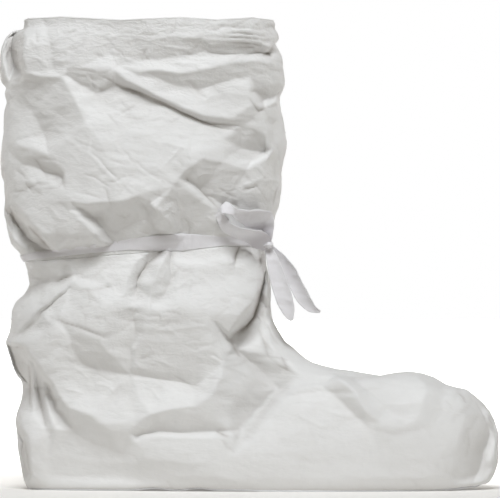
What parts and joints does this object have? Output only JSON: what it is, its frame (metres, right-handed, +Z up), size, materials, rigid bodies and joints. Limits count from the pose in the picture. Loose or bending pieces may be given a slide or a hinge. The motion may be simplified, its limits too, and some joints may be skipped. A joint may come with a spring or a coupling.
{
  "type": "disposable boot cover",
  "caption": "Knee-high disposable boot cover of crumpled white nonwoven sheet, open at the collar, with a sewn flat sole and a tie knotted in a bow at the ankle.",
  "frame": {"origin": "on the floor under the middle of the cover's outline", "axes": "+X from heel to toe, +Z up from the sole to the collar, +Y to the far side of the picture"},
  "size_m": [0.3984, 0.113, 0.3756],
  "materials": {
    "upper_sheet": "white spunbonded fibre sheet, crumpled, matt with a faint sheen",
    "sole_sheet": "white spunbonded fibre sheet, matt",
    "tie_tape": "white folded tape of the same fibre sheet"
  },
  "bodies": {
    "root": {"upper": "upper_sheet", "sole": "sole_sheet", "tie_band": "tie_tape", "tie_knot": "tie_tape", "tie_loop_near": "tie_tape", "tie_loop_far": "tie_tape", "tie_tail_near": "tie_tape", "tie_tail_far": "tie_tape"}
  },
  "joints": []
}
